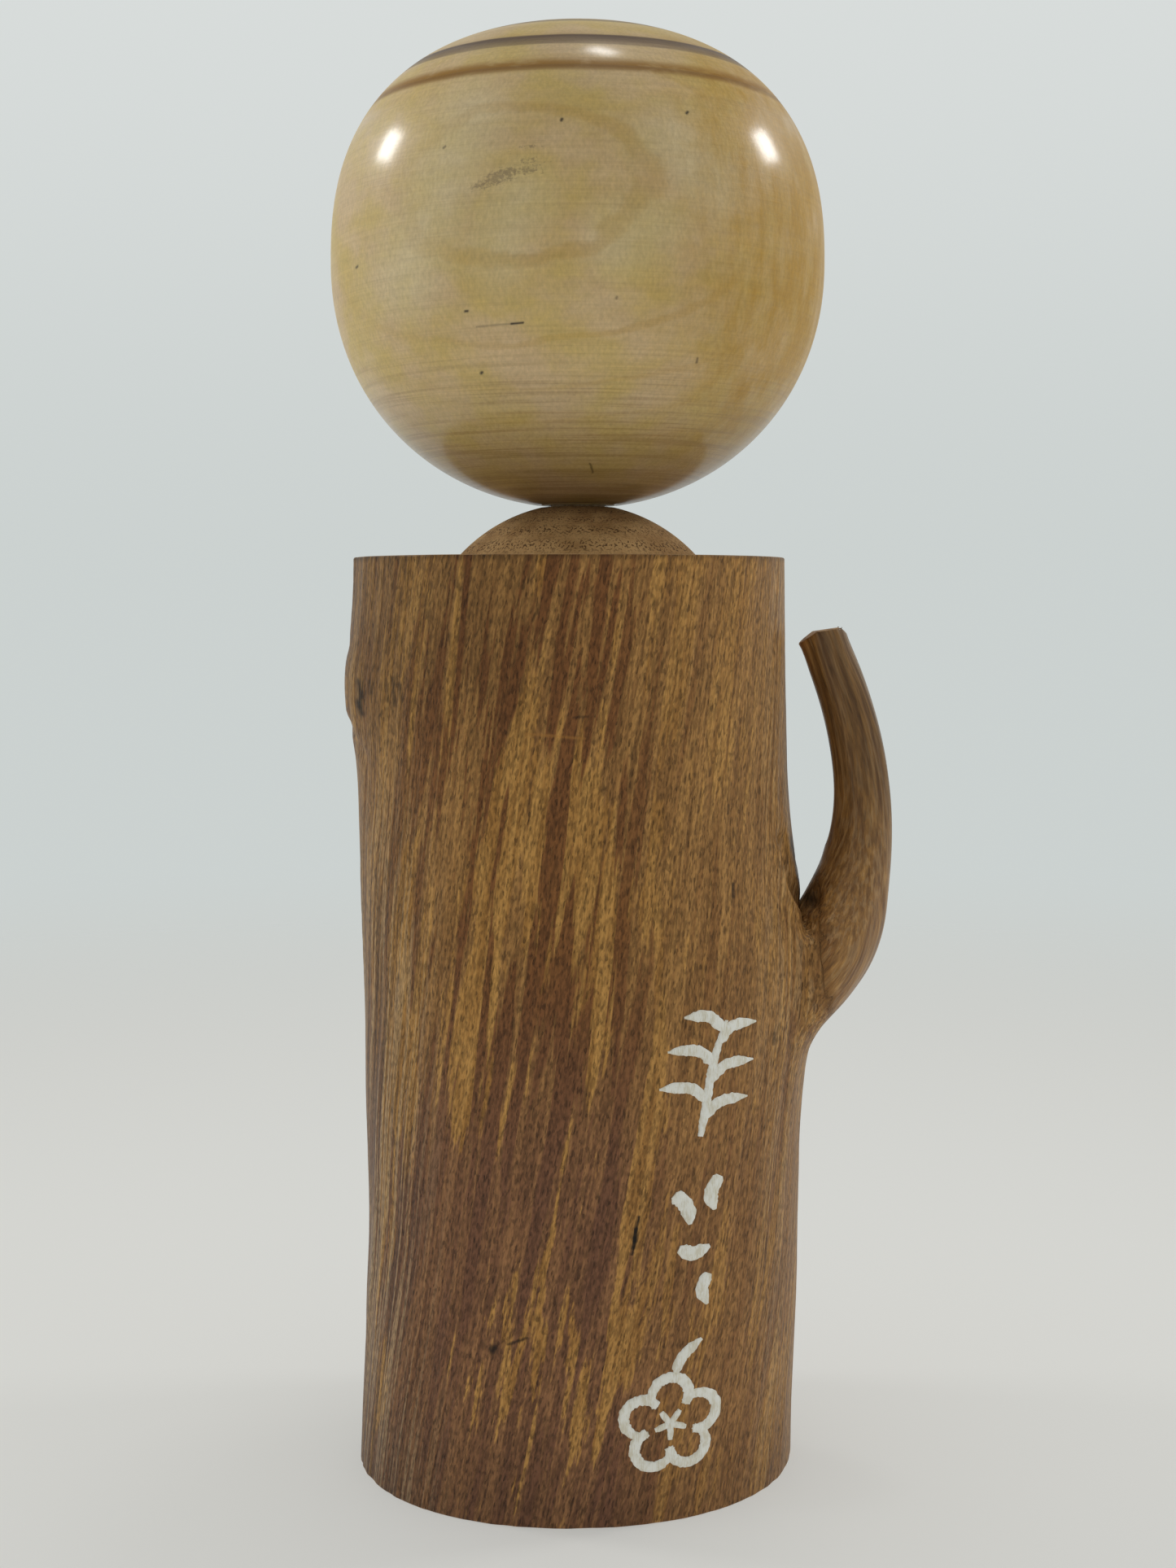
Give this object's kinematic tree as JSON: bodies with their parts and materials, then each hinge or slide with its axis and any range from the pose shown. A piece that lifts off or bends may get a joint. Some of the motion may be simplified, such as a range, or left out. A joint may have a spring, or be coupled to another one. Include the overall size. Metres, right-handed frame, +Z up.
{
  "type": "kokeshi doll",
  "caption": "Wooden doll with a turned ball head that turns on its peg above a peeled log body, whose own side branch is its raised arm.",
  "frame": {"origin": "on the flat base that the doll stands on, at the foot of the axis that its head turns on", "axes": "+Z up along the doll, +X towards the branch, -Y towards the side with the painted mark, +Y where the face looks"},
  "size_m": [0.0939, 0.0818, 0.24],
  "materials": {
    "peeled_log": "peeled log with flame-like grain under clear satin lacquer",
    "dome_wood": "bare turned hardwood with open pores, matte",
    "peg_wood": "bare turned dowel, matte",
    "head_wood": "pale turned wood under gloss clear lacquer, with painted rings and face"
  },
  "bodies": {
    "body": {"log_body": "peeled_log", "shoulder_dome": "dome_wood"},
    "head": {"head": "head_wood", "neck_peg": "peg_wood"}
  },
  "joints": [
    {"name": "head_turn", "type": "hinge", "parent": "body", "child": "head", "pos_m": [0, 0, 0.1625], "axis": [0, 0, 1], "continuous": true}
  ]
}
